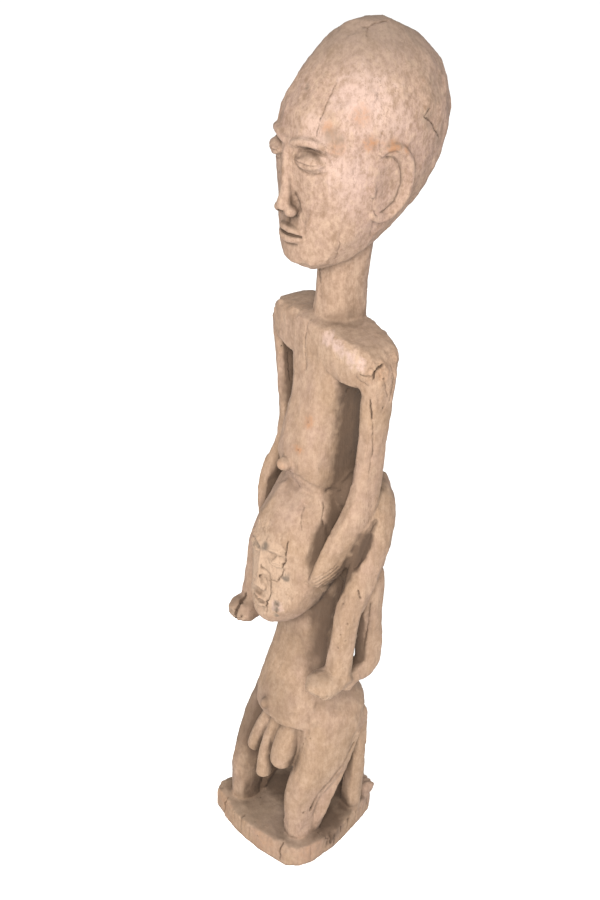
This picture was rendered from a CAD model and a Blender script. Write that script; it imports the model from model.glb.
"""A carved ancestor figure of dry, weathered wood: a long-headed rider on a kneeling bearer's shoulders.

Metres, +Z up, the figures face -Y and their left is +X. The carving is measured in millimetres above the
top of its base, through at(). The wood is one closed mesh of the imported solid's own forms, lofted more
finely, then cut with tool facets, worn flakes, drying clefts and worm holes, and coloured by one
procedural wood.
"""

import math
import random

import bmesh
import bpy
import numpy as np
from bpy.props import FloatProperty, FloatVectorProperty, IntProperty, PointerProperty
from mathutils import Matrix, Vector, noise
from mathutils.bvhtree import BVHTree
from mathutils.kdtree import KDTree


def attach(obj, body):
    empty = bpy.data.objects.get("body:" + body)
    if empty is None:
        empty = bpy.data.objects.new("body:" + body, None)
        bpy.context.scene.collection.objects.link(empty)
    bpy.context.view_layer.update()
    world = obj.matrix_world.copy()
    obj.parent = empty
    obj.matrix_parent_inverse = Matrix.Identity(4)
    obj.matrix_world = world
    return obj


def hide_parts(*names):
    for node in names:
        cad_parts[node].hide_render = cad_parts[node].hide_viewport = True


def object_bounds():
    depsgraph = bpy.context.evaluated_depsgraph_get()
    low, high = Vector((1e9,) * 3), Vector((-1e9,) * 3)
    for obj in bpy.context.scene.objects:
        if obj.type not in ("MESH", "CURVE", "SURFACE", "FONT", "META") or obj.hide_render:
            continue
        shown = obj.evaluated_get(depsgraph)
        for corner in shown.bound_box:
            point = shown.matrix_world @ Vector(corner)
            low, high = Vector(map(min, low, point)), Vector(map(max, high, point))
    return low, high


bl_info = {
    "name": "Carved ancestor figure",
    "version": (1, 0, 0),
    "blender": (4, 5, 0),
    "location": "View3D > Sidebar > Figure",
    "description": "Dresses a carved wooden figure in its worn and weathered surface",
    "category": "Object",
}

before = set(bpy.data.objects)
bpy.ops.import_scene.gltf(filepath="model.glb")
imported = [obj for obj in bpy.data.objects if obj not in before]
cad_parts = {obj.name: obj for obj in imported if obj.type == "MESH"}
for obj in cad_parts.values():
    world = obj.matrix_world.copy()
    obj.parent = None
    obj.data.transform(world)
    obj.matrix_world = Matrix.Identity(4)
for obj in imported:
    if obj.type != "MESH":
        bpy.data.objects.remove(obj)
CAD_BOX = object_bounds()

MM = 0.001
LEFT, RIGHT = 1, -1

# The base's plan, as in the solid, with its worn top edge 2 mm rounder
BASE_THICKNESS = 0.031
BASE_WIDTH = 0.163
BASE_DEPTH = 0.184
BASE_CORNER_RADIUS = 0.028
BASE_SHARP_CORNER_RADIUS = 0.0196
BASE_FRONT_SLANT = 0.026
BASE_FRONT_BOW = 0.006
BASE_SIDE_DRAW = 0.009
BASE_BACK_TAPER = 0.044
BASE_EDGE_RADIUS = 0.009
BASE_WAIST = 0.008
BASE_SHIFT = -0.0085
UNDERSIDE = 0.002
BASE_TOP = round(BASE_THICKNESS / MM)
HALF_BASE = round(BASE_DEPTH / 2 / MM)
TOE_LINE = HALF_BASE - 28
SOLE_LINE = HALF_BASE - 50
KNEES = {1: (40, 51 - HALF_BASE), -1: (50, 33 - HALF_BASE)}

# The camera, fitted to the photograph: degrees, and metres from the middle of the base
CAMERA_BEARING = 52.976
CAMERA_LOOK_ASIDE = 0.668
CAMERA_PITCH = 31.029
CAMERA_ROLL = 2.46
CAMERA_FAR = 1.257
CAMERA_FORWARD = 0.016
CAMERA_TALL = 1.304

# Half the floor's side in metres
HALF_FLOOR = 40.0

# The heads, where the knife's cuts are broad, in millimetres above the base
RIDER_JAW = 740
BEARER_CHIN = 315
BEARER_CROWN = 500

# The spacing of the first fusing, before the small forms go on, and the rounds that soften each
COARSE_SPACING = 1.7 * MM
SOFTENING_ROUNDS = 1

# How high the base's wear and dust reach, in millimetres above the ground, and over how much they fade
BASE_WEAR_TOP = 36
BASE_DUST_TOP = 37
BASE_WEAR_FADE = 4

# How high the grey of the rider's crown begins, in millimetres above the base, and over how much it deepens
CROWN_GREY_FROM = 912
CROWN_GREY_RISE = 45

# The rings of the heads and the stations of the limbs, as in the solid
ELBOW_IN = {1: 0, -1: 8}
HAND_BACK = {1: 0, -1: 9}
FOOT_DROP = {1: 0, -1: 4}
LEG_OUT = {1: 86, -1: 82}
RING_SIDES = 40
EASE_STEPS = 5
DOME_RING = 0.65
EAR_PLACE = 8
HEAD_POWER = 2.2
RIDER_HEAD = (
    (0, -26, 737, 18, 20), (0, -20, 747, 32, 35), (0, -10, 764, 44, 48), (0, 1, 784, 53, 59),
    (0, 14, 815, 62, 73), (0, 21, 849, 66, 84), (0, 27, 889, 65, 84), (0, 32, 919, 55, 71),
    (0, 32, 939, 43, 56), (0, 30, 954, 28, 38), (0, 29, 965, 13, 18),
)
BEARER_HEAD = (
    (0, -60, 318, 18, 16), (0, -54, 328, 30, 27), (0, -44, 346, 42, 37), (0, -34, 369, 49, 46),
    (0, -27, 399, 52, 53), (0, -22, 429, 50, 54), (0, -16, 459, 42, 46), (0, -12, 479, 32, 36),
    (0, -8, 492, 18, 22),
)
RIDER_RELIEF = 1.0
BEARER_RELIEF = 0.5

# Cuts of the knife on both sides: points, half width, depth and how much dirt they hold. They are the fold
# under the belly, the shoulder's ridge, the valley between forearm and thigh, and the calf's groove
MIRRORED_CUTS = (
    (((0, -50, 499), (17, -45, 503), (26, -36, 496), (33, -22, 487), (42, -8, 487)), 3.2, 1.2, 0.15),
    (((28, -22, 672), (52, -22, 671), (68, -20, 667)), 3.5, -1.0, 0),
    (((90, 4, 470), (89, -5, 452), (87, -12, 434), (82, -16, 414)), 6, 4, 0.5),
    (((64, 17, 132), (66, -4, 108), (60, -28, 74), (55, -36, 44)), 4, 4, 0.5),
)

# Drying clefts: points in millimetres above the base, width, depth and how dark they are
CLEFTS = (
    ([(25, -28, 924), (28, -41, 906), (30, -50, 889), (30, -56, 872)], 0.3, 1.6, 0.7),
    ([(50, 1, 920), (52, -4, 912), (56, -9, 901)], 0.3, 1.0, 0.5),
    ([(62, -3, 884), (63, -5, 866)], 0.3, 1.0, 0.5),
    ([(61, 51, 896), (64, 43, 889), (63, 52, 884), (62, 59, 877), (60, 65, 870),
      (56, 72, 862)], 0.9, 2.0, 0.7),
    ([(8, 10, 963), (12, 13, 963), (12, 23, 965), (13, 34, 965)], 1.6, 1.8, 0.7),
    ([(12, 12, 963), (20, 6, 956)], 1.2, 1.2, 0.5),
    ([(46, -32, 787), (42, -30, 770), (36, -27, 752)], 0.5, 1.4, 0.6),
    ([(60, -7, 819), (56, -3, 800), (50, 3, 775)], 0.9, 1.0, 0.45),
    ([(-3, -11, 726), (-2, -11, 712)], 1.8, 2.0, 0.7),
    ([(-4, -25, 673), (-5, -28, 662), (-7, -29, 647), (-5, -28, 631), (-2, -30, 618)], 0.6, 1.8, 0.7),
    ([(88, -3, 657), (88, -12, 650), (87, -16, 642)], 2.6, 4.0, 0.9),
    ([(75, -21, 643), (82, -19, 642), (88, -14, 643)], 1.2, 2.2, 0.6),
    ([(90, 8, 654), (91, 10, 637), (89, 9, 612)], 0.9, 2.0, 0.6),
    ([(91, -3, 642), (92, 1, 630), (91, 5, 618)], 1.0, 1.6, 0.6),
    ([(70, -22, 640), (76, -21, 634), (84, -17, 632)], 0.8, 1.4, 0.5),
    ([(85, -14, 618), (85, -12, 607), (85, -9, 595)], 1.6, 2.6, 0.9),
    ([(85, -9, 595), (84, -6, 577), (84, -4, 552), (83, -6, 530)], 0.5, 1.8, 0.7),
    ([(-66, -7, 604), (-65, -7, 588), (-64, -6, 570)], 1.5, 2.2, 0.9),
    ([(29, -66, 434), (30, -68, 425), (31, -70, 412), (29, -73, 402)], 0.8, 2.2, 0.8),
    ([(4, -84, 394), (9, -82, 388), (14, -80, 387), (13, -80, 380), (23, -76, 380), (28, -74, 389),
      (30, -72, 400)], 1.2, 1.8, 0.9),
    ([(16, -80, 380), (16, -80, 362), (13, -81, 346), (12, -80, 330)], 1.2, 2.0, 0.85),
    ([(-81, -44, 287), (-77, -54, 279), (-76, -60, 268), (-77, -62, 258)], 2.4, 4.0, 1.0),
    ([(-55, -86, 2), (-56, -88, -12), (-55, -88, -27)], 1.4, 2.2, 0.8),
    ([(-18, -82, 1), (-18, -85, -12), (-17, -84, -24)], 1.2, 1.8, 0.6),
    ([(47, -70, 1), (47, -72, -14), (48, -72, -28)], 1.4, 2.2, 0.7),
    ([(69, -8, 0), (70, -8, -10), (70, -7, -22)], 1.4, 2.2, 0.8),
    ([(10, 84, 0), (17, 84, -6), (29, 76, -4)], 3.0, 4.5, 1.0),
    ([(93, -18, 392), (95, -16, 382)], 2.2, 2.0, 0.8),
    ([(26, -45, 471), (30, -50, 460), (34, -53, 446)], 0.9, 1.2, 0.5),
    ([(34, -27, 474), (40, -30, 462), (43, -32, 449)], 0.9, 1.2, 0.5),
    ([(88, 6, 362), (88, 4, 332), (88, 0, 298)], 0.6, 1.6, 0.4),
    ([(-20, 104, 900), (-12, 112, 860), (-16, 104, 820), (-10, 92, 790)], 1.4, 2.4, 0.9),
    ([(-50, 60, 930), (-58, 52, 900), (-60, 46, 876)], 1.2, 1.8, 0.8),
    ([(10, 46, 560), (12, 44, 520), (6, 48, 488)], 1.4, 2.2, 0.8),
    ([(-6, 36, 300), (-4, 34, 260), (-9, 34, 226)], 1.4, 2.2, 0.8),
)

# Worm holes and knots: place and radius
HOLES = (
    (46, -40, 155, 1.0), (44, -40, 146, 1.0), (43, -41, 140, 0.9), (52, -39, 159, 1.0),
    (56, -46, 45, 2.2), (87, -28, 374, 1.1), (93, -29, 353, 1.3), (91, -32, 339, 1.1),
    (91, -32, 332, 1.0), (90, -33, 321, 1.2), (38, -5, 605, 2.4), (17, -38, 567, 1.2),
    (14, -47, 535, 1.1), (-1, -45, 913, 1.3), (24, -75, 350, 1.3), (24, -75, 340, 1.2),
    (5, -84, 380, 2.0), (14, -79, 377, 1.4), (95, 2, 606, 1.6),
)

# Chips and worn hollows: place, radius and depth
CHIPS = (
    (90, -12, 646, 11, 4.5), (84, -22, 657, 13, 4.0), (92, 12, 660, 16, 5.0),
    (-88, -18, 660, 18, 6.0), (60, -27, 672, 10, 1.6), (30, -30, 676, 12, 1.2),
    (-76, -60, 262, 7, 2.0), (95, -45, 262, 7, 1.6), (-88, -84, 2, 19, 4.5),
    (-84, -58, 2, 12, 2.5), (60, -70, -2, 12, 2.5), (20, -88, -2, 9, 1.6),
    (68, 30, -2, 11, 2.5), (22, 88, -2, 9, 4.0), (-86, -20, -2, 12, 2.5),
    (-60, 70, -2, 12, 3.0), (16, 12, 965, 12, 1.5),
)

# Places where the wood's old skin has flaked off: centre and half sizes in millimetres
LOST_SKIN = (
    ((2, -78, 384), (42, 30, 54)),
    ((60, -26, 657), (27, 12, 9)),
    ((88, -8, 648), (9, 12, 10)),
    ((-82, -12, 652), (9, 12, 8)),
    ((-78, -60, 264), (12, 12, 12)),
    ((86, -66, 262), (15, 10, 8)),
)

# Stains that a cloth would not take off: place, radius and strength
RUST_STAINS = (
    (37, -45, 884, 8, 0.7), (53, -21, 896, 12, 0.7), (46, -41, 868, 9, 0.6),
    (61, -14, 872, 9, 1.0), (69, 7, 869, 9, 1.0), (72, 22, 866, 7, 1.0), (30, -28, 940, 7, 0.3),
    (17, -37, 567, 8, 0.9), (14, -46, 535, 7, 0.9), (0, -60, 513, 7, 0.6),
    (-40, -50, 880, 12, 0.4), (88, -8, 648, 12, 0.4), (20, -84, -12, 26, 0.3),
    (-60, -84, -10, 26, 0.3), (66, -40, -12, 26, 0.3), (-2, -82, 352, 8, 0.4),
    (-10, -84, 362, 6, 0.4),
)
GREY_STAINS = (
    (-14, -77, 413, 8, 1.0), (5, -80, 421, 6, 1.0), (4, -81, 415, 5, 1.0),
    (32, -71, 389, 6, 1.0), (24, -75, 352, 4.5, 1.0), (24, -75, 343, 4.5, 1.0),
    (24, -75, 336, 4.5, 1.0), (40, -44, 879, 8, 0.5), (46, -40, 874, 6, 0.5),
    (-1, -45, 913, 4, 0.7), (58, 48, 888, 12, 0.45), (52, 66, 866, 12, 0.4),
    (0, 22, 962, 34, 0.55), (40, 60, 915, 30, 0.35), (-45, 10, 925, 26, 0.4),
)
BLOOM = (
    (30, -30, 665, 12, 0.75), (46, -28, 660, 11, 0.9), (62, -25, 658, 10, 0.9),
    (76, -22, 655, 9, 0.8), (46, -12, 905, 34, 0.7), (26, -50, 880, 20, 0.5),
    (46, -30, 845, 28, 0.55), (60, 10, 890, 26, 0.4), (50, -28, 820, 24, 0.3),
    (24, -76, 348, 9, 0.7),
)
SOOT = (
    *((46, 12, z, 36, 1.1) for z in range(490, 631, 10)),
    *((-66, 2, z, 18, 1.2) for z in range(550, 611, 10)),
    *((40, -24, z, 21, 0.9) for z in range(240, 341, 10)),
    *((-50, -52, z, 36, 0.9) for z in range(30, 151, 10)),
    *((-36, 6, z, 25, 0.9) for z in (550, 575, 600)),
    *((86 - step * 4, -6 - step * 4, 446 - step * 15, 14, 1.0) for step in range(5)),
    *((84, 10 - step * 3, 350 - step * 20, 20, 0.4) for step in range(4)),
    *((x, -6, -2, 34, 1.1) for x in range(-30, 51, 8)),
    (30, 40, -2, 30, 0.6), (70, 0, -2, 22, 0.3), (60, -14, 193, 13, 0.5), (48, -28, 198, 11, 0.5),
    (64, 4, 195, 12, 0.4), (42, -6, 250, 26, 0.8), (62, 30, -2, 20, 0.4), (46, -36, 440, 14, 0.4),
    (10, -45, 270, 48, 0.5), (10, -60, 200, 46, 0.6), (-82, -56, 268, 22, 0.6),
    (-28, -20, 40, 40, 1.0),
)
PALE_PLACES = (
    (2, -82, 400, 34, 0.75), (4, -80, 355, 30, 0.75), (24, -72, 380, 24, 0.6),
    (66, -24, 652, 18, 0.5), (30, -30, 655, 20, 0.4), (50, 0, 905, 34, 0.35),
    (20, -52, 885, 26, 0.25), (88, -56, 270, 20, 0.5),
)


class WoodSettings(bpy.types.PropertyGroup):
    """Sizes and colours of the carved wood."""

    fineness: FloatProperty(
        name="Fineness", description="Spacing of the carved mesh",
        default=0.0014, min=0.0008, unit="LENGTH")
    triangles: IntProperty(
        name="Triangles", description="Triangles that the finished piece keeps", default=192000, min=20000)
    facet_length: FloatProperty(
        name="Facet width", description="Usual width of one cut of the knife", default=0.020, unit="LENGTH")
    facet_depth: FloatProperty(
        name="Facet flatness", description="How flat each cut is left, from 0 to 1",
        default=0.75, subtype="FACTOR")
    facet_tries: IntProperty(
        name="Facet tries", description="Places tried for a cut", default=9000, min=100)
    base_checks: IntProperty(
        name="Base checks", description="Short upright cracks in the base's side", default=26, min=0)
    skin: FloatProperty(
        name="Skin", description="Thickness of the old skin that flakes off", default=0.0013, unit="LENGTH")
    weathering: FloatProperty(
        name="Weathering", description="Height of the raised and sunken grain",
        default=0.0005, unit="LENGTH")
    wood: FloatVectorProperty(
        name="Wood", description="Dry wood", default=(0.192, 0.126, 0.081), subtype="COLOR")
    rosy: FloatVectorProperty(
        name="Rosy wood", description="Rubbed, rosier patches",
        default=(0.206, 0.137, 0.109), subtype="COLOR")
    pale: FloatVectorProperty(
        name="Pale wood", description="Wood bared by wear", default=(0.262, 0.184, 0.128), subtype="COLOR")
    brown: FloatVectorProperty(
        name="Brown", description="Old dirt in the hollows",
        default=(0.052, 0.031, 0.019), subtype="COLOR")
    rust: FloatVectorProperty(
        name="Rust", description="Orange stains", default=(0.200, 0.102, 0.054), subtype="COLOR")
    grey: FloatVectorProperty(
        name="Grey", description="Grey specks and weathered tops",
        default=(0.102, 0.075, 0.055), subtype="COLOR")
    bloom: FloatVectorProperty(
        name="Bloom", description="Pale, pinkish rubbed wood",
        default=(0.288, 0.205, 0.174), subtype="COLOR")
    mottle: FloatVectorProperty(
        name="Mottle", description="The darker of the wood's mottles",
        default=(0.118, 0.072, 0.043), subtype="COLOR")
    cleft: FloatVectorProperty(
        name="Cleft", description="The dark inside of a cleft",
        default=(0.022, 0.014, 0.010), subtype="COLOR")


class StageSettings(bpy.types.PropertyGroup):
    """The floor, the soft light and the camera."""

    floor: FloatVectorProperty(
        name="Floor", description="Plain pale floor", default=(0.95, 0.95, 0.95), subtype="COLOR")
    key: FloatProperty(
        name="Key light", description="Power of the large soft light", default=205.0, unit="POWER")
    fill: FloatProperty(
        name="Fill light", description="Power of the light opposite", default=6.0, unit="POWER")
    sky: FloatProperty(name="Sky", description="Strength of the light from all round", default=1.0)
    lens: FloatProperty(name="Lens", description="Focal length in millimetres", default=54.95)


def at(x, y, z):
    """A point of the carving from millimetres above the top of the base."""
    return Vector((x * MM, y * MM, BASE_THICKNESS + z * MM))


def squared(angle, power):
    """How far out a ring's point lies at an angle: 1 for a circle, more at the corners when squarer."""
    return (abs(math.cos(angle)) ** power + abs(math.sin(angle)) ** power) ** (-1.0 / power)


def circle_edges(made):
    """The edges of a circle that was just made."""
    return list({edge for vertex in made["verts"] for edge in vertex.link_edges})


def closed(bm, rings):
    """Joins each ring to the next, and fills the first and the last."""
    for lower, upper in zip(rings, rings[1:]):
        bmesh.ops.bridge_loops(bm, edges=lower + upper)
    bmesh.ops.contextual_create(bm, geom=rings[0])
    bmesh.ops.contextual_create(bm, geom=rings[-1])


def ring(bm, centre, across, deep, normal, power):
    """One closed ring of a loft: a squared ellipse with the half axes across and deep."""
    turned = Matrix((across, deep, normal)).transposed().to_4x4()
    turned.translation = centre
    made = bmesh.ops.create_circle(bm, segments=RING_SIDES, radius=1.0)
    for vertex in made["verts"]:
        reach = squared(math.atan2(vertex.co.y, vertex.co.x), power)
        vertex.co = turned @ (vertex.co * reach)
    return circle_edges(made)


def eased(stations):
    """The stations with more between them, on a smooth curve through every one (Catmull-Rom)."""
    given = np.array(stations, dtype=float)
    padded = np.vstack((given[0], given, given[-1]))
    result = []
    for before, start, end, after in zip(padded, padded[1:], padded[2:], padded[3:]):
        for t in np.arange(EASE_STEPS) / EASE_STEPS:
            pull = (end - before) * t + (2 * before - 5 * start + 4 * end - after) * t ** 2
            pull += (3 * start - before - 3 * end + after) * t ** 3
            result.append(start + pull / 2)
    return [tuple(float(value) for value in station) for station in result + [given[-1]]]


def loft(bm, stations, side=LEFT, power=2.2, level=False, crosswise=False, dome_share=0.4):
    """A closed body through stations of (x, y, z, half width, half depth), with domed ends.

    Level rings stay horizontal, for heads and trunks. The others turn square to the path, for limbs. A
    crosswise body runs from side to side, so its stations give the half depth and then the half height.
    The stations are those of the left side, and mirrored for the right.
    """
    stations = eased([(side * x, *others) for x, *others in stations])
    points = [at(*station[:3]) for station in stations]
    wide_way = Vector((0, 1, 0)) if crosswise else Vector((1, 0, 0))
    rings = []
    last = len(stations) - 1
    for index, station in enumerate(stations):
        along = (points[min(index + 1, last)] - points[max(index - 1, 0)]).normalized()
        if level:
            along = Vector((0, 0, 1 if along.z > 0 else -1))
        across = (wide_way - along * along.dot(wide_way)).normalized()
        deep = along.cross(across)
        width, depth = station[3] * MM, station[4] * MM
        dome = dome_share * min(width, depth)
        tip = (across * width * DOME_RING, deep * depth * DOME_RING)
        if index == 0:
            rings.append(ring(bm, points[0] - along * dome, *tip, along, power))
        rings.append(ring(bm, points[index], across * width, deep * depth, along, power))
        if index == last:
            rings.append(ring(bm, points[last] + along * dome, *tip, along, power))
    closed(bm, rings)


def ball(bm, place, halves, tilt=0.0, turn=0.0):
    """A stretched ball at a place, tilted about X and turned about Z, in degrees."""
    turned = Matrix.Translation(at(*place))
    turned @= Matrix.Rotation(math.radians(turn), 4, "Z") @ Matrix.Rotation(math.radians(tilt), 4, "X")
    turned @= Matrix.Diagonal((*(half * MM for half in halves), 1.0))
    bmesh.ops.create_uvsphere(bm, u_segments=32, v_segments=20, radius=1.0, matrix=turned)


def rod(bm, stations):
    """A round rod through stations of (place, half thickness), with blunt ends."""
    places = [at(*place) for place, _ in stations]
    rings = []
    last = len(stations) - 1
    for index, (_, thick) in enumerate(stations):
        along = places[min(index + 1, last)] - places[max(index - 1, 0)]
        turned = along.to_track_quat("Z", "Y").to_matrix().to_4x4()
        made = bmesh.ops.create_circle(
            bm, segments=14, radius=thick * MM, matrix=Matrix.Translation(places[index]) @ turned)
        rings.append(circle_edges(made))
    closed(bm, rings)


def base(bm):
    """The low base: a flat slab with a bowed front, longest on its right, round corners and a narrow back.

    It reaches below the ground, where the underside is cut flat.
    """
    front, back = -BASE_DEPTH / 2, BASE_DEPTH / 2
    right, left = BASE_SHIFT - BASE_WIDTH / 2, BASE_SHIFT + BASE_WIDTH / 2
    corners = [
        (right, front + BASE_FRONT_BOW),
        (BASE_SHIFT, front),
        (left, front + BASE_FRONT_SLANT),
        (left - BASE_SIDE_DRAW, BASE_WAIST),
        (left - BASE_BACK_TAPER, back),
        (right + BASE_BACK_TAPER, back),
        (right + BASE_BACK_TAPER / 4, BASE_WAIST),
    ]
    floor = [bm.verts.new((x, y, -UNDERSIDE)) for x, y in corners]
    bm.faces.new(floor)
    sharper, rounder = floor[:1], floor[1:]
    bmesh.ops.bevel(
        bm, geom=sharper, offset=BASE_SHARP_CORNER_RADIUS, segments=4, profile=0.5, material=-1, affect="VERTICES")
    bevelled = bmesh.ops.bevel(
        bm, geom=rounder, offset=BASE_CORNER_RADIUS, segments=6, profile=0.5, material=-1, affect="VERTICES")
    slab = bevelled["verts"][0].link_faces[0]
    raised = bmesh.ops.extrude_face_region(bm, geom=[slab])["geom"]
    top = [item for item in raised if isinstance(item, bmesh.types.BMVert)]
    bmesh.ops.translate(bm, verts=top, vec=(0, 0, BASE_THICKNESS + UNDERSIDE))
    rim = [edge for edge in bm.edges if edge.verts[0] in top and edge.verts[1] in top]
    bmesh.ops.bevel(
        bm, geom=rim, offset=BASE_EDGE_RADIUS, segments=3, profile=0.5, material=-1, affect="EDGES")


def heads(bm):
    """The rider's tall egg-shaped head on its neck, and the bearer's smaller one under the belly."""
    loft(bm, RIDER_HEAD, power=HEAD_POWER, level=True, dome_share=0.1)
    loft(bm, BEARER_HEAD, power=HEAD_POWER, level=True, dome_share=0.1)
    ball(bm, (-4, 17, 957), (17, 19, 9.5))
    loft(bm, [
        (0, 8, 650, 30, 24), (0, 9, 680, 25, 27), (0, 9, 710, 24, 26), (0, 13, 780, 27, 28),
    ], level=True)


def rider_trunk(bm):
    """The yoke of the shoulders, the long trunk with its full belly, and the hips by the bearer's head."""
    loft(bm, [
        (-79, 2, 640, 19, 20), (-60, 2, 646, 27, 25), (0, 2, 649, 31, 27), (60, 2, 646, 27, 25),
        (79, 2, 640, 19, 20),
    ], power=6, crosswise=True)
    loft(bm, [
        (0, 10, 420, 38, 38), (0, 14, 452, 42, 42), (0, 6, 482, 38, 44), (0, -6, 505, 35, 42),
        (0, -8, 520, 34, 43), (0, -5, 550, 34, 40), (0, 0, 590, 34, 35), (0, 3, 640, 50, 30),
    ], level=True, power=3.0)
    for side in (LEFT, RIGHT):
        ball(bm, (side * 24, 34, 464), (27, 22, 32))
        ball(bm, (side * 23, -14, 440), (25, 34, 50))


def rider_limbs(bm, side):
    """One arm down to the hand on the bearer's head, and one leg over the bearer's shoulder."""
    inward, back, drop, out = ELBOW_IN[side], HAND_BACK[side], FOOT_DROP[side], LEG_OUT[side]
    loft(bm, [
        (78, 2, 642, 15, 18), (77, 2, 612, 12, 17), (74 - inward / 2, 2, 560, 11, 15),
        (72 - inward, 1, 515, 11, 16), (73 - inward, -4, 488, 11, 17),
        (71 - inward / 2, -15, 462, 11, 17), (67, -25 + back / 2, 438, 10, 18),
        (62, -32 + back, 414, 9, 19), (57, -35 + back, 397, 8, 19), (52, -37 + back, 384, 6, 17),
    ], side, power=2.8)
    loft(bm, [
        (36, 20, 478, 30, 33), (60, 17, 465, 26, 27), (75, 9, 430, 20, 21),
        (out - 3, -6, 396, 16, 16), (out, -23, 358, 13, 14), (out, -28, 318 - drop / 2, 13, 14),
        (out, -32, 285 - drop, 14, 14),
    ], side, power=2.4)
    loft(bm, [
        (out - 1, -24, 276 - drop, 15, 15), (out - 1, -44, 272 - drop, 17, 15),
    ], side, power=2.4)
    ball(bm, (side * (out - 1), -50 + drop, 270 - drop), (18, 23 - drop / 2, 16), tilt=-14)


def bearer_trunk(bm):
    """The bearer's neck, trunk and heavy belly with its ledge."""
    loft(bm, [
        (0, -10, 158, 42, 40), (0, -20, 170, 50, 46), (0, -20, 192, 50, 47), (0, -15, 230, 44, 42),
        (0, -8, 270, 40, 37), (0, -4, 310, 40, 36), (0, 2, 350, 46, 38), (0, 8, 390, 50, 38),
        (0, 10, 430, 40, 36),
    ], level=True)
    loft(bm, [
        (0, 8, 94, 36, 30), (0, 4, 118, 48, 38), (0, 2, 148, 66, 45), (2, 2, 174, 67, 47),
        (4, 2, 194, 59, 45), (2, 0, 213, 42, 37),
    ], level=True, power=2.5)
    for side in (LEFT, RIGHT):
        ball(bm, (side * 25, 24, 150), (27, 22, 42))


def bearer_limbs(bm, side):
    """One arm bent to hold the rider's foot, and one leg folded under: thigh, calf and upright foot."""
    loft(bm, [
        (45, 15, 395, 26, 28), (69, 12, 375, 18, 20), (77, 11, 340, 12, 16), (81, 13, 296, 11, 15),
        (82, 10, 273, 11, 14), (83, -8, 268, 11, 13), (85, -26, 260, 11, 12),
    ], side, power=2.8)
    knee_x, knee_y = KNEES[side]
    loft(bm, [
        (38, -4, 168, 30, 38), (28 + knee_x * 0.42, knee_y * 0.6 + 9, 116, 26, 32),
        (knee_x, knee_y * 0.9, 60, 18, 23), (knee_x, knee_y, 15, 15, 18),
        (knee_x, knee_y, -6, 15, 17),
    ], side, power=2.4)
    loft(bm, [
        (knee_x + 3, knee_y + 13, -4, 12, 7), (48, -15, 45, 13, 8), (50, 8, 110, 14, 11),
        (49, 24, 165, 15, 14),
    ], side, power=2.6)
    loft(bm, [
        (46, 32, 166, 13, 12), (42, 39, 90, 11, 11), (36, SOLE_LINE, 0, 12, 11),
    ], side, power=2.6)


def loins(bm):
    """The bearer's carved sex, three short pegs under the belly, as on the old figures of this kind."""
    loft(bm, [(3, -50, 160, 9, 9), (-3, -62, 116, 8, 8), (-4, -65, 74, 9, 10)])
    loft(bm, [(20, -42, 162, 12, 12), (22, -52, 134, 15, 15), (19, -56, 106, 13, 14)])
    loft(bm, [(-12, -46, 162, 10, 9), (-22, -58, 126, 10, 9), (-28, -64, 98, 9, 8)])


def arrays(mesh):
    """The places and the normals of a mesh's points."""
    places = np.empty(len(mesh.vertices) * 3)
    normals = np.empty(len(mesh.vertices) * 3)
    mesh.vertices.foreach_get("co", places)
    mesh.vertex_normals.foreach_get("vector", normals)
    return places.reshape(-1, 3), normals.reshape(-1, 3)


def put_back(mesh, places):
    """Moves the mesh's points to these places."""
    mesh.vertices.foreach_set("co", places.ravel())
    mesh.update()


def field(places, scale, stretch=(1, 1, 1), octaves=3, offset=0.0):
    """Fractal noise between about -1 and 1 at each place."""
    spots = places * np.array(stretch) * scale + offset
    return np.array([noise.fractal(Vector(spot), 0.9, 2.1, octaves) for spot in spots])


def away_from(places, centre, radii):
    """How many of its radii each place lies from a centre."""
    return np.linalg.norm((places - np.array(at(*centre))) / (np.array(radii) * MM), axis=1)


def surface(mesh):
    """A search tree of the mesh's surface."""
    bm = bmesh.new()
    bm.from_mesh(mesh)
    tree = BVHTree.FromBMesh(bm)
    bm.free()
    return tree


def traced(tree, points, wander=0.0):
    """A path through the points, laid on the surface at every 2 mm, that wanders from side to side."""
    corners = [at(*point) for point in points]
    path = []
    for start, end in zip(corners, corners[1:]):
        steps = max(1, round((end - start).length / (2 * MM)))
        path += [start.lerp(end, step / steps) for step in range(steps)]
    path.append(corners[-1])
    result = []
    for spot in path:
        sway = noise.noise_vector(spot * 160) * wander * MM
        nearest, normal, _, _ = tree.find_nearest(spot + sway)
        result.append((nearest, normal))
    return result


def nearness(places, normals, path, width):
    """How near each place is to a path, from 0 at its edge to 1 on it; the path thins towards its ends."""
    spots = np.array([tuple(spot) for spot, _ in path])
    facing = np.array([tuple(normal) for _, normal in path])
    low, high = spots.min(axis=0) - width, spots.max(axis=0) + width
    near = np.nonzero(((places > low) & (places < high)).all(axis=1))[0]
    result = np.zeros(len(places))
    if len(near) == 0:
        return result
    start = spots[:-1] if len(spots) > 1 else spots
    span = np.diff(spots, axis=0) if len(spots) > 1 else np.zeros((1, 3))
    best = np.full(len(near), np.inf)
    for index, (origin, step) in enumerate(zip(start, span)):
        away = places[near] - origin
        along = np.clip(away @ step / max(step @ step, 1e-12), 0, 1)
        distance = np.linalg.norm(away - along[:, None] * step, axis=1)
        share = (index + along) / len(start)
        thin = 0.45 + 0.55 * np.sqrt(np.clip(np.sin(share * math.pi), 0, 1)) if len(spots) > 1 else 1.0
        distance = distance / (width * thin)
        distance[normals[near] @ facing[min(index, len(facing) - 1)] < 0.1] = np.inf
        best = np.minimum(best, distance)
    result[near] = np.clip(1 - best, 0, 1)
    return result


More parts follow.
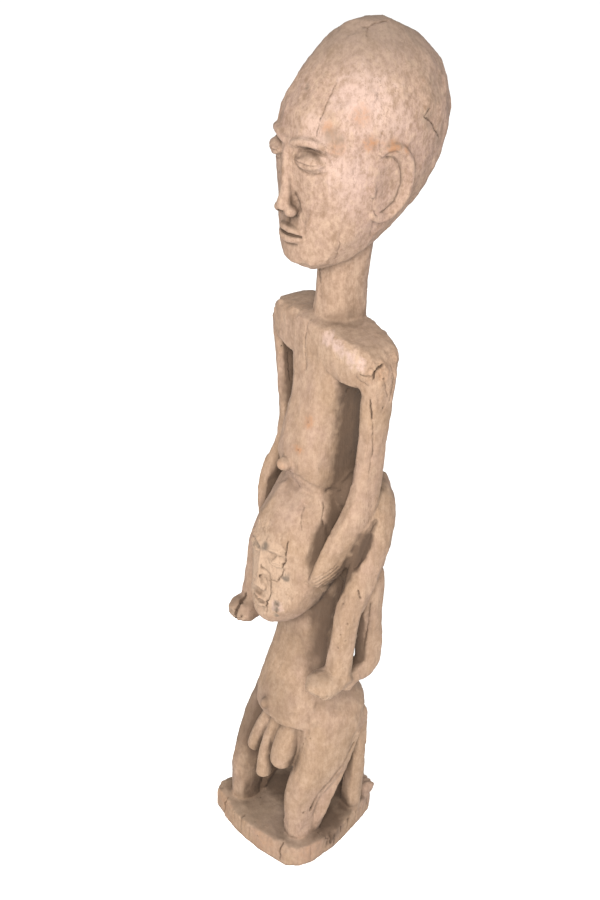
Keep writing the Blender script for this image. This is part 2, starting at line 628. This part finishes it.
class Head:
    """The usual divisions of a head: eyes halfway up, nose and mouth below them, five eyes wide."""

    def __init__(self, rings, relief):
        self.rings = rings
        self.relief = relief
        self.chin, self.crown = rings[0][2], rings[-1][2]
        self.tall = self.crown - self.chin
        self.eye = max(ring[3] for ring in rings) / 5
        self.eyes = self.chin + self.tall / 2
        self.brow = self.eyes + self.eye
        self.nose = self.chin + self.tall / 4
        self.mouth = self.chin + self.tall / 6
        self.raised = self.eye * relief

    def ring_at(self, z):
        """The middle y, half width and half depth of the head at a height."""
        heights = [ring[2] for ring in self.rings]
        return (float(np.interp(z, heights, [ring[part] for ring in self.rings])) for part in (1, 3, 4))

    def spot(self, across, z, out=0.0):
        """A place on the face: across in eyes, z in mm, and out from the skin in raised eyes."""
        middle, width, depth = self.ring_at(z)
        x = across * self.eye
        y = middle - depth * (1 - min(1, abs(x) / width) ** HEAD_POWER) ** (1 / HEAD_POWER)
        return (x, y - out * self.raised, z)

    def side(self, y, z):
        """The x of the head's side at this y and z."""
        middle, width, depth = self.ring_at(z)
        return width * (1 - min(1, abs(y - middle) / depth) ** HEAD_POWER) ** (1 / HEAD_POWER)

    def eyeball(self, across, rise):
        """How far out the eyeball stands, in raised eyes, at an offset from its middle in eyes."""
        return 0.66 * math.sqrt(max(0.0, 1 - (across / 1.05) ** 2 - (rise / 0.62) ** 2)) - 0.2


def model_face(bm, head):
    """A calm, plain face: arched brows, lowered lids, a straight nose, full lips and a round chin."""
    eye, raised, spot = head.eye, head.raised, head.spot
    for side in (LEFT, RIGHT):
        ball(bm, spot(side * 2, head.eyes, -0.2), (eye * 1.05, raised * 0.66, eye * 0.62), turn=side * 14)
        rod(bm, [
            (spot(side * across, head.brow + lift * eye, out), eye * thick)
            for across, lift, out, thick in (
                (0.1, -0.2, 0.1, 0.2), (0.6, 0.05, 0.14, 0.3), (1.3, 0.3, 0.16, 0.34),
                (2, 0.38, 0.16, 0.34), (2.7, 0.26, 0.12, 0.3), (3.2, 0.0, 0.04, 0.22),
                (3.6, -0.3, -0.06, 0.14))
        ])
        for rise, thick in ((0.1, 0.15), (-0.36, 0.11)):
            rod(bm, [
                (spot(side * (2 + turn), head.eyes + eye * rise * (1 - turn * turn),
                      head.eyeball(turn, rise * (1 - turn * turn)) - 0.03), eye * thick)
                for turn in (-0.98, -0.8, -0.5, -0.2, 0.1, 0.4, 0.7, 0.98)
            ])
        ball(bm, spot(side * 0.64, head.nose + eye * 0.38, 0.34), (eye * 0.44, raised * 0.55, eye * 0.42))
    rod(bm, [
        (spot(0, head.brow + eye * 0.15, -0.14), eye * 0.42),
        (spot(0, head.eyes + eye * 0.1, 0.06), eye * 0.4),
        (spot(0, head.nose + eye * 1.6, 0.26), eye * 0.5),
        (spot(0, head.nose + eye * 0.85, 0.48), eye * 0.6),
        (spot(0, head.nose + eye * 0.42, 0.56), eye * 0.56),
    ])
    for middle, droop, thick in ((0.33, -0.22, 0.33), (-0.38, 0.2, 0.38)):
        rod(bm, [
            (spot(turn * 1.5, head.mouth + eye * (middle + droop * turn * turn), 0.16 - 0.3 * turn * turn),
             eye * thick * (1 - 0.62 * turn * turn))
            for turn in (-1, -0.75, -0.5, -0.25, 0, 0.25, 0.5, 0.75, 1)
        ])
    ball(bm, spot(0, head.chin + eye * 1.0, -0.42), (eye * 1.3, raised * 0.6, eye * 0.65))


def model_ears(bm, head):
    """Ears between brow and nose: a curved rim, a lobe and the small flap in front of the hollow."""
    middle, half = head.chin + 0.41 * head.tall, 0.16 * head.tall
    for side in (LEFT, RIGHT):
        rim = []
        for turn in range(-125, 126, 10):
            y = EAR_PLACE + half * 0.66 * math.cos(math.radians(turn))
            z = middle + half * math.sin(math.radians(turn))
            rim.append(((side * (head.side(y, z) + 1.8), y, z), 4.6 - 1.4 * abs(turn) / 125))
        rod(bm, rim)
        ball(bm, (side * (head.side(4, middle - half) + 0.5), 3, middle - half * 0.86), (4, 8, 7))
        ball(bm, (side * (head.side(-8, middle) - 0.5), -8, middle - half * 0.1), (4, 5, 8))


def carved_lines(tree):
    """The cuts that finish the carving, as paths with a half width, a depth and how much dirt they hold.

    Slits part the lids and the lips, and grooves part the fingers. A negative depth raises a ridge.
    """
    cuts = []

    def cut(points, width, depth, dirt):
        cuts.append((traced(tree, points, 0.3), width * MM, depth * MM, dirt))

    for head in (Head(RIDER_HEAD, RIDER_RELIEF), Head(BEARER_HEAD, BEARER_RELIEF)):
        eye, relief, spot = head.eye, head.relief, head.spot
        for side in (LEFT, RIGHT):
            cut([spot(side * (2 + turn), head.eyes - eye * 0.1 * (1 - turn * turn), 0.5)
                 for turn in (-0.92, -0.5, 0, 0.5, 0.92)], 1.3, 1.5 * relief, 0.6 * relief)
            cut([spot(side * across, head.eyes + eye * lift, 0)
                 for across, lift in ((0.75, 0.1), (1.1, 0.62), (2, 0.85), (3, 0.6), (3.35, 0))],
                1.8, 1.3 * relief, 0.15 * relief)
            cut([spot(side * across, head.eyes - eye * lift, 0)
                 for across, lift in ((0.8, 0.1), (1.2, 0.6), (2, 0.86), (3, 0.55))],
                1.5, 1.0 * relief, 0.25 * relief)
            cut([spot(side * 0.34, head.nose + eye * 0.05, 0.7)], 2.3, 3.4 * relief, 0.95)
            cut([spot(side * across, head.nose + eye * lift, 0)
                 for across, lift in ((0.6, 1.6), (0.95, 1.0), (1.12, 0.4), (0.8, -0.02), (0.2, -0.08))],
                1.6, 1.5 * relief, 0.5 * relief)
            cut([spot(side * across, z, 0) for across, z in (
                (1.25, head.nose + eye * 0.3), (1.55, head.nose - eye * 0.5), (1.62, head.mouth))],
                1.8, 0.8 * relief, 0.12)
        cut([spot(turn * 1.5, head.mouth - eye * 0.01, 0.3) for turn in (-1, -0.5, 0, 0.5, 1)],
            1.5, 2.4 * relief, 0.6 * relief)
        cut([spot(turn * 0.9, head.mouth - eye * 0.74, 0) for turn in (-1, 0, 1)], 2.4, 1.2 * relief, 0.2)
        cut([spot(0, head.nose - eye * 0.1, 0), spot(0, head.mouth + eye * 0.62, 0)],
            1.8, 0.9 * relief, 0.15)
    for side in (LEFT, RIGHT):
        cut([(side * 66, 4, 831 + rise) for rise in (-12, 0, 12)], 13, 2.6, 0.1)
        cut([(side * 60, 6 + 17 * math.cos(math.radians(turn)), 830 + 28 * math.sin(math.radians(turn)))
             for turn in range(-100, 101, 25)], 1.8, 1.8, 0.5)
        for points, width, depth, dirt in MIRRORED_CUTS:
            cut([(side * x, y, z) for x, y, z in points], width, depth, dirt)
        for lower in (-5, 0, 5, 10):
            cut([(side * 58, lower - 54, 390 - lower), (side * 67, lower - 40, 401 - lower),
                 (side * 70, lower - 28, 412 - lower)], 1.1, 1.2, 0.35)
        for pit in range(16):
            turn = math.pi * (pit + 0.5) / 16
            place = (side * 85 - 19 * math.cos(turn), -53 - 20 * math.sin(turn), 259 + 4 * (pit % 3))
            cut([place], 1.7, 1.4, 0.7)
    return cuts


def dried_lines(tree):
    """The clefts, worm holes and checks in the base, as paths with a half width, depth and darkness."""
    wood = bpy.context.scene.figure_wood
    result = [
        (traced(tree, points, 1.3), width * MM / 2 + 0.35 * MM, depth * MM, dark)
        for points, width, depth, dark in CLEFTS
    ]
    result += [(traced(tree, [place]), radius * MM, radius * 1.6 * MM, 0.95) for *place, radius in HOLES]
    picker = random.Random(5)
    for _ in range(wood.base_checks):
        turn = picker.uniform(0, math.tau)
        x, y = 86 * math.cos(turn), 96 * math.sin(turn)
        top, bottom = picker.uniform(-8, 0), picker.uniform(-29, -16)
        path = traced(tree, [(x, y, top), (x, y, (top + bottom) / 2), (x, y, bottom)], 1.5)
        wide, deep, dark = (picker.uniform(*limits) for limits in ((0.5, 0.9), (0.8, 2.0), (0.3, 0.8)))
        result.append((path, wide * MM, deep * MM, dark))
    return result


def rough_form():
    """The figures' forms fused into one skin and cut into planes, with faces, ears and toes added."""
    wood = bpy.context.scene.figure_wood
    large = bmesh.new()
    base(large)
    heads(large)
    rider_trunk(large)
    bearer_trunk(large)
    for side in (LEFT, RIGHT):
        rider_limbs(large, side)
        bearer_limbs(large, side)
    figure = bpy.data.objects.new("ancestor_figure", meshed(large))
    bpy.context.scene.collection.objects.link(figure)
    fused(figure, COARSE_SPACING)
    places, normals = arrays(figure.data)
    put_back(figure.data, knife_facets(places, normals))
    fine = bmesh.new()
    for rings, relief in ((RIDER_HEAD, RIDER_RELIEF), (BEARER_HEAD, BEARER_RELIEF)):
        model_face(fine, Head(rings, relief))
    model_ears(fine, Head(RIDER_HEAD, RIDER_RELIEF))
    loins(fine)
    small_forms(fine)
    details = meshed(fine)
    both = bmesh.new()
    both.from_mesh(figure.data)
    both.from_mesh(details)
    both.to_mesh(figure.data)
    both.free()
    bpy.data.meshes.remove(details)
    fused(figure, wood.fineness * (1))
    return figure


def small_forms(bm):
    """The navels and the toes behind the soles."""
    ball(bm, (0, -52, 513), (8, 10, 8))
    ball(bm, (0, -66, 188), (7, 9, 8))
    for side in (LEFT, RIGHT):
        for spread in (-10.5, -3.5, 3.5, 10.5):
            ball(bm, (side * 22 + spread, TOE_LINE, 2), (4.5, 19, 13))


def meshed(bm):
    """The closed bodies built so far as a mesh that faces outward."""
    bmesh.ops.recalc_face_normals(bm, faces=bm.faces)
    mesh = bpy.data.meshes.new("ancestor_figure")
    bm.to_mesh(mesh)
    bm.free()
    return mesh


def fused(figure, spacing):
    """Fuses the figure's bodies into one closed skin with points this far apart, and softens it."""
    fuse = figure.modifiers.new("fusing", "REMESH")
    fuse.mode = "VOXEL"
    fuse.voxel_size = spacing
    soften = figure.modifiers.new("softening", "SMOOTH")
    soften.factor = 0.5
    soften.iterations = SOFTENING_ROUNDS
    apply_modifiers(figure)


def apply_modifiers(figure):
    """Makes the figure's mesh what its modifiers show."""
    graph = bpy.context.evaluated_depsgraph_get()
    finished = bpy.data.meshes.new_from_object(figure.evaluated_get(graph))
    figure.modifiers.clear()
    old = figure.data
    figure.data = finished
    finished.name = "ancestor_figure"
    bpy.data.meshes.remove(old)


def refined(mesh, lines, reach):
    """Halves the mesh's edges near the lines, so that thin cuts come out sharp."""
    places, normals = arrays(mesh)
    near = np.zeros(len(places), dtype=bool)
    for path, width, _, _ in lines:
        near |= nearness(places, normals, path, width + reach) > 0
    bm = bmesh.new()
    bm.from_mesh(mesh)
    bm.verts.ensure_lookup_table()
    edges = [edge for edge in bm.edges if near[edge.verts[0].index] and near[edge.verts[1].index]]
    bmesh.ops.subdivide_edges(bm, edges=edges, cuts=1, use_grid_fill=True)
    bmesh.ops.triangulate(bm, faces=[face for face in bm.faces if len(face.verts) > 4])
    bm.to_mesh(mesh)
    bm.free()


def knife_facets(places, normals):
    """The flat cuts of the knife, long with the grain: each point is drawn to its nearest cut's plane.

    The cuts are broad on the heads and narrow on the limbs.
    """
    wood = bpy.context.scene.figure_wood
    along = np.array((1.0, 1.0, 0.45))
    height = places[:, 2] / MM - BASE_TOP
    in_front = (places[:, 1] < -0.02) & (abs(places[:, 0]) < 0.05)
    broad = (height > RIDER_JAW) | (in_front & (height > BEARER_CHIN) & (height < BEARER_CROWN))
    size = np.where(broad, 1.4, 0.75) * wood.facet_length
    picker = random.Random(7)
    cuts = []
    chosen = np.empty((0, 3))
    for _ in range(wood.facet_tries):
        point = picker.randrange(len(places))
        place = places[point] * along
        if len(chosen) == 0 or np.linalg.norm(chosen - place, axis=1).min() > size[point] * 0.6:
            cuts.append(point)
            chosen = np.vstack((chosen, place))
    tree = KDTree(len(cuts))
    for index, spot in enumerate(chosen):
        tree.insert(spot, index)
    tree.balance()
    owner = np.full(len(places), -1)
    for point, (place, normal) in enumerate(zip(places * along, normals)):
        for _, index, _ in tree.find_n(place, 6):
            if normal @ normals[cuts[index]] > 0.6:
                owner[point] = index
                break
    owned = owner >= 0
    centres = places[cuts][owner[owned]]
    facing = normals[cuts][owner[owned]]
    rise = ((places[owned] - centres) * facing).sum(axis=1)
    total = np.bincount(owner[owned], weights=rise, minlength=len(cuts))
    count = np.maximum(np.bincount(owner[owned], minlength=len(cuts)), 1)
    rise = rise - (total / count)[owner[owned]]
    most = np.where(broad, 1.5, 0.9)[owned] * MM
    push = np.clip(rise * wood.facet_depth, -most, most)
    moved = places.copy()
    moved[owned] -= push[:, None] * facing
    return moved


def lost_skin(places):
    """Where the wood's old skin has flaked away: the bearer's face, the yoke's front and some ends."""
    torn = field(places, 75, stretch=(1, 1, 0.7), octaves=3, offset=4.0)
    lost = np.zeros(len(places))
    for centre, radii in LOST_SKIN:
        lost = np.maximum(lost, np.clip((1 - away_from(places, centre, radii) + torn * 0.35) * 9, 0, 1))
    crumbs = np.clip((field(places, 130, octaves=2, offset=12.0) - 0.32) * 6, 0, 1)
    return lost * (1 - crumbs * 0.8)


def hollows(mesh):
    """How shut in each point is, from 0 in the open to 1 in a deep hollow, by rays over its half sky."""
    places, normals = arrays(mesh)
    tree = surface(mesh)
    reach, count = 0.07, 12
    golden_turn = math.pi * (3 - math.sqrt(5))
    rays = []
    for index in range(count):
        height = math.sqrt((index + 0.5) / count)
        turn = index * golden_turn
        flat = math.sqrt(1 - height * height)
        rays.append(Vector((flat * math.cos(turn), flat * math.sin(turn), height)))
    shut = np.zeros(len(places))
    up = Vector((0, 0, 1))
    for point, (place, normal) in enumerate(zip(places, normals)):
        facing = Vector(normal)
        turned = up.rotation_difference(facing)
        origin = Vector(place) + facing * 0.4 * MM
        for ray in rays:
            hit = tree.ray_cast(origin, turned @ ray, reach)[3]
            if hit is not None:
                shut[point] += 1 - hit / reach
    return shut / len(rays)


def spread(mesh, values, rounds):
    """The values averaged with their neighbours along the mesh's edges."""
    edges = np.empty(len(mesh.edges) * 2, dtype=int)
    mesh.edges.foreach_get("vertices", edges)
    edges = edges.reshape(-1, 2)
    count = np.bincount(edges.ravel(), minlength=len(values))
    for _ in range(rounds):
        total = np.bincount(edges[:, 0], weights=values[edges[:, 1]], minlength=len(values))
        total += np.bincount(edges[:, 1], weights=values[edges[:, 0]], minlength=len(values))
        values = (values + total / np.maximum(count, 1)) / 2
    return values


def stained(places, spots, torn=1.1):
    """The strength of a kind of stain at each place, from its spots, with edges as ragged as torn says."""
    ragged = field(places, 170, octaves=3, offset=9.0)
    result = np.zeros(len(places))
    for *centre, radius, strength in spots:
        distance = away_from(places, centre, radius)
        inside = np.clip((1 - distance) * 2 + ragged * torn, 0, 1) * (distance < 1.6)
        result = np.maximum(result, inside * strength)
    return result


def write_attribute(mesh, name, values):
    """Stores one number for each point of the mesh, for the wood's material."""
    layer = mesh.attributes.new(name, "FLOAT", "POINT")
    layer.data.foreach_set("value", values.astype(np.float32))


def carve(figure):
    """Cuts the facets, weathers the wood, opens its clefts and thins the mesh to its budget."""
    wood = bpy.context.scene.figure_wood
    mesh = figure.data
    tree = surface(mesh)
    lines = carved_lines(tree) + dried_lines(tree)
    refined(mesh, lines, 1.0 * MM)
    places, normals = arrays(mesh)
    grain = field(places, 420, stretch=(1, 1, 0.12), octaves=2)
    pitting = field(places, 190, stretch=(1, 1, 0.5), octaves=3, offset=2.0)
    sink = wood.weathering * (0.4 * grain + 0.7 * pitting) + lost_skin(places) * wood.skin
    on_base = np.clip((BASE_WEAR_TOP - places[:, 2] / MM) / BASE_WEAR_FADE, 0, 1)
    wavy = field(places, 28, stretch=(1, 1, 0.3), octaves=3, offset=7.0)
    sink += on_base * (wavy * 1.3 + 0.9) * MM
    for *centre, radius, depth in CHIPS:
        inside = np.clip(1.15 - away_from(places, centre, radius) + pitting * 0.25, 0, 1)
        sink += inside ** 1.5 * depth * MM
    for path, width, depth, _ in lines:
        sink += nearness(places, normals, path, width) ** 0.8 * depth
    standing = np.clip((places[:, 2] - 1 * MM) / (3 * MM), 0, 1)
    move = normals * sink[:, None]
    move[:, 2] *= standing
    places = places - move
    places[places[:, 2] < 0.9 * MM, 2] = 0.0
    low, high = (np.array(corner) for corner in CAD_BOX)
    places = np.clip(places, low, high)
    put_back(mesh, places)
    thin = figure.modifiers.new("thinning", "DECIMATE")
    triangles = sum(len(polygon.vertices) - 2 for polygon in mesh.polygons)
    thin.ratio = min(1.0, wood.triangles / triangles)
    thin.use_collapse_triangulate = True
    apply_modifiers(figure)
    return lines


def weather(figure, lines):
    """Writes where the wood is shut in, cleft, stained, pale or grey, for its material."""
    mesh = figure.data
    places, normals = arrays(mesh)
    write_attribute(mesh, "hollow", spread(mesh, hollows(mesh), 2) + 0.3 * stained(places, SOOT, 0.3))
    write_attribute(mesh, "bloom", stained(places, BLOOM))
    dark = np.zeros(len(places))
    for path, width, _, strength in lines:
        shown = np.clip(nearness(places, normals, path, width * 1.05) * 1.9, 0, 1)
        dark = np.maximum(dark, shown * strength)
    write_attribute(mesh, "cleft", dark)
    write_attribute(mesh, "rust", stained(places, RUST_STAINS))
    bare = lost_skin(places)
    write_attribute(mesh, "pale", np.maximum(stained(places, PALE_PLACES), bare * 0.8))
    facing_up = np.clip((normals[:, 2] - 0.35) / 0.5, 0, 1)
    on_base = np.clip((BASE_DUST_TOP - places[:, 2] / MM) / BASE_WEAR_FADE, 0, 1)
    crown = np.clip((places[:, 2] / MM - BASE_TOP - CROWN_GREY_FROM) / CROWN_GREY_RISE, 0, 1) * 0.62
    dust = np.maximum(facing_up * on_base * 0.55, np.maximum(crown, facing_up * 0.25))
    write_attribute(mesh, "grey", np.maximum(stained(places, GREY_STAINS), dust * (1 - bare)))


class Nodes:
    """A material's nodes, added and linked one by one."""

    def __init__(self, material):
        self.tree = material.node_tree
        self.place = 0

    def feed(self, socket, value):
        """Sets a socket to a plain value, or links it to another node's."""
        if isinstance(value, bpy.types.NodeSocket):
            self.tree.links.new(value, socket)
        else:
            socket.default_value = value

    def add(self, kind, **inputs):
        """A node of this kind with its named inputs fed."""
        node = self.tree.nodes.new(kind)
        self.place += 1
        node.location = (-220 * (self.place % 9) - 300, -180 * (self.place // 9))
        for name, value in inputs.items():
            self.feed(node.inputs[name.replace("_", " ")], value)
        return node

    def attribute(self, name):
        """A number that the mesh holds for each point."""
        node = self.add("ShaderNodeAttribute")
        node.attribute_name = name
        return node.outputs["Fac"]

    def grain(self, coordinates, stretch, scale, detail=4.0, roughness=0.6):
        """Noise on the piece's own coordinates, drawn out along the axes with the smaller numbers."""
        mapping = self.add("ShaderNodeMapping", Vector=coordinates, Scale=stretch)
        noises = self.add("ShaderNodeTexNoise", Vector=mapping.outputs[0],
                          Scale=scale, Detail=detail, Roughness=roughness)
        return noises.outputs["Fac"]

    def between(self, value, low, high):
        """The value, from 0 at low to 1 at high, kept between them."""
        return self.add("ShaderNodeMapRange", Value=value, From_Min=low, From_Max=high).outputs[0]

    def worked(self, operation, first, second, clamp=True):
        """Two values worked into one."""
        node = self.add("ShaderNodeMath")
        node.operation = operation
        node.use_clamp = clamp
        self.feed(node.inputs[0], first)
        self.feed(node.inputs[1], second)
        return node.outputs[0]

    def times(self, first, second):
        """The first value times the second."""
        return self.worked("MULTIPLY", first, second)

    def wash(self, colour, tint, share, strength=1.0):
        """The colour with a tint laid over it by the share times the strength."""
        node = self.add("ShaderNodeMix")
        node.data_type = "RGBA"
        self.feed(node.inputs[0], self.times(share, strength))
        self.feed(node.inputs[6], colour)
        self.feed(node.inputs[7], (*tint, 1.0))
        return node.outputs[2]


def dry_wood():
    """Dry, matt, dusty wood with mottles, long grain, dirt in its hollows and dark clefts."""
    wood = bpy.context.scene.figure_wood
    material = bpy.data.materials.new("dry_wood")
    material.use_nodes = True
    shader = material.node_tree.nodes["Principled BSDF"]
    shader.inputs["Roughness"].default_value = 0.9
    shader.inputs["Specular IOR Level"].default_value = 0.25
    nodes = Nodes(material)
    own = nodes.add("ShaderNodeTexCoord").outputs["Object"]
    broad = nodes.grain(own, (1, 1, 0.7), 14.0, detail=5.0)
    blotch = nodes.grain(own, (1, 1, 0.7), 75.0, detail=6.0, roughness=0.7)
    mottle = nodes.grain(own, (1, 1, 0.75), 210.0, detail=5.0, roughness=0.75)
    speck = nodes.grain(own, (1, 1, 0.6), 640.0, detail=3.0, roughness=0.7)
    streak = nodes.grain(own, (1, 1, 0.045), 520.0, detail=4.0, roughness=0.7)
    check = nodes.grain(own, (1, 1, 0.05), 150.0, detail=3.0, roughness=0.5)

    height = nodes.add("ShaderNodeSeparateXYZ", Vector=own).outputs["Z"]
    high = nodes.between(height, 0.62, 0.86)
    rosy = nodes.worked("ADD", nodes.times(nodes.between(broad, 0.44, 0.64), 0.6), nodes.times(high, 0.6))
    rough = nodes.worked("ADD", nodes.times(high, 0.3), 0.3)
    colour = nodes.wash((*wood.wood, 1.0), wood.rosy, rosy)
    colour = nodes.wash(colour, wood.pale, nodes.between(blotch, 0.50, 0.66), 0.55)
    colour = nodes.wash(colour, wood.pale, nodes.attribute("pale"))
    colour = nodes.wash(colour, wood.mottle, nodes.between(blotch, 0.50, 0.36), rough)
    colour = nodes.wash(colour, wood.pale, nodes.between(mottle, 0.50, 0.64), rough)
    colour = nodes.wash(colour, wood.mottle, nodes.between(mottle, 0.50, 0.36), rough)
    colour = nodes.wash(colour, wood.mottle, nodes.between(streak, 0.53, 0.70), 0.40)
    colour = nodes.wash(colour, wood.bloom, nodes.attribute("bloom"), nodes.between(mottle, 0.25, 0.55))
    colour = nodes.wash(colour, wood.brown, nodes.between(speck, 0.60, 0.72), 0.35)
    colour = nodes.wash(colour, wood.rust, nodes.attribute("rust"), nodes.between(mottle, 0.38, 0.56))
    colour = nodes.wash(colour, wood.grey, nodes.attribute("grey"))
    from_line = nodes.worked("ABSOLUTE", nodes.worked("SUBTRACT", check, 0.5, clamp=False), 0.0)
    hairline = nodes.worked("SUBTRACT", 1.0, nodes.times(from_line, 130.0))
    here = nodes.between(nodes.grain(own, (1, 1, 0.5), 26.0), 0.56, 0.64)
    colour = nodes.wash(colour, wood.brown, nodes.times(hairline, here), 0.7)
    colour = nodes.wash(colour, wood.brown, nodes.between(nodes.attribute("hollow"), 0.11, 0.41), 0.9)
    colour = nodes.wash(colour, wood.cleft, nodes.attribute("cleft"))
    nodes.feed(shader.inputs["Base Color"], colour)

    relief = nodes.worked("ADD", nodes.times(streak, 0.4), nodes.times(mottle, 0.5))
    bump = nodes.add("ShaderNodeBump", Strength=0.6, Distance=0.0012, Height=relief)
    nodes.feed(shader.inputs["Normal"], bump.outputs[0])
    return material


class OBJECT_OT_carve_ancestor_figure(bpy.types.Operator):
    """Carve and weather the two figures and their base, one piece of wood"""

    bl_idname = "object.carve_ancestor_figure"
    bl_label = "Carve the figure"

    def execute(self, context):
        figure = rough_form()
        lines = carve(figure)
        weather(figure, lines)
        figure.data.materials.clear()
        figure.data.materials.append(dry_wood())
        for polygon in figure.data.polygons:
            polygon.use_smooth = True
        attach(figure, "root")
        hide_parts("figure")
        return {"FINISHED"}


def soft_light(name, place, target, size, power, colour):
    """A large square light that faces its target."""
    light = bpy.data.lights.new(name, "AREA")
    light.energy = power
    light.size = size
    light.color = colour
    holder = bpy.data.objects.new(name, light)
    holder.location = place
    holder.rotation_euler = (Vector(target) - Vector(place)).to_track_quat("-Z", "Y").to_euler()
    bpy.context.scene.collection.objects.link(holder)


class OBJECT_OT_set_figure_stage(bpy.types.Operator):
    """Lay the floor, set the soft studio light and stand the camera at the photograph's angle"""

    bl_idname = "object.set_figure_stage"
    bl_label = "Set the stage"

    def execute(self, context):
        stage = context.scene.figure_stage
        bm = bmesh.new()
        bmesh.ops.create_grid(bm, x_segments=1, y_segments=1, size=HALF_FLOOR)
        mesh = bpy.data.meshes.new("floor")
        bm.to_mesh(mesh)
        bm.free()
        floor = bpy.data.objects.new("floor", mesh)
        context.scene.collection.objects.link(floor)
        paint = bpy.data.materials.new("pale_floor")
        paint.use_nodes = True
        shader = paint.node_tree.nodes["Principled BSDF"]
        shader.inputs["Base Color"].default_value = (*stage.floor, 1.0)
        shader.inputs["Roughness"].default_value = 0.7
        mesh.materials.append(paint)

        world = bpy.data.worlds.new("soft_sky")
        world.use_nodes = True
        sky = world.node_tree.nodes["Background"]
        sky.inputs["Color"].default_value = (1.0, 1.0, 1.0, 1.0)
        sky.inputs["Strength"].default_value = stage.sky
        context.scene.world = world
        middle = (0.0, 0.0, 0.55)
        soft_light("key", (1.8, -1.62, 2.2), middle, 1.2, stage.key, (1.0, 0.98, 0.96))
        soft_light("fill", (-0.6, -2.4, 1.3), middle, 1.6, stage.fill, (1.0, 1.0, 1.0))
        context.scene.view_settings.view_transform = "Standard"

        camera = bpy.data.objects.new("camera", bpy.data.cameras.new("camera"))
        camera.data.lens = stage.lens
        camera.data.sensor_width = 36.0
        bearing, pitch, roll = (math.radians(turn) for turn in (CAMERA_BEARING, CAMERA_PITCH, CAMERA_ROLL))
        turn = bearing + math.radians(CAMERA_LOOK_ASIDE)
        across, ahead = CAMERA_FAR * math.sin(bearing), CAMERA_FAR * math.cos(bearing) + CAMERA_FORWARD
        stand = Vector((across, -ahead, CAMERA_TALL))
        level = Vector((-math.sin(turn), math.cos(turn), 0.0))
        forward = level * math.cos(pitch) - Vector((0.0, 0.0, math.sin(pitch)))
        right = forward.cross(Vector((0.0, 0.0, 1.0))).normalized()
        up = right.cross(forward)
        tilted = right * math.cos(roll) + up * math.sin(roll)
        upright = up * math.cos(roll) - right * math.sin(roll)
        facing = Matrix((tilted, upright, -forward)).transposed().to_4x4()
        camera.matrix_world = Matrix.Translation(stand) @ facing
        context.scene.collection.objects.link(camera)
        context.scene.camera = camera
        return {"FINISHED"}


class VIEW3D_PT_ancestor_figure(bpy.types.Panel):
    """The sizes, colours and steps of the figure"""

    bl_label = "Ancestor figure"
    bl_space_type = "VIEW_3D"
    bl_region_type = "UI"
    bl_category = "Figure"

    def draw(self, context):
        for settings in (context.scene.figure_wood, context.scene.figure_stage):
            for name in settings.bl_rna.properties.keys():
                if name not in ("rna_type", "name"):
                    self.layout.prop(settings, name)
        self.layout.operator("object.carve_ancestor_figure")
        self.layout.operator("object.set_figure_stage")


CLASSES = (
    WoodSettings,
    StageSettings,
    OBJECT_OT_carve_ancestor_figure,
    OBJECT_OT_set_figure_stage,
    VIEW3D_PT_ancestor_figure,
)


def register():
    for kind in CLASSES:
        bpy.utils.register_class(kind)
    bpy.types.Scene.figure_wood = PointerProperty(type=WoodSettings)
    bpy.types.Scene.figure_stage = PointerProperty(type=StageSettings)


def unregister():
    del bpy.types.Scene.figure_stage
    del bpy.types.Scene.figure_wood
    for kind in reversed(CLASSES):
        bpy.utils.unregister_class(kind)


def main():
    register()
    bpy.ops.object.carve_ancestor_figure()
    bpy.ops.object.set_figure_stage()


if __name__ == "__main__":
    main()
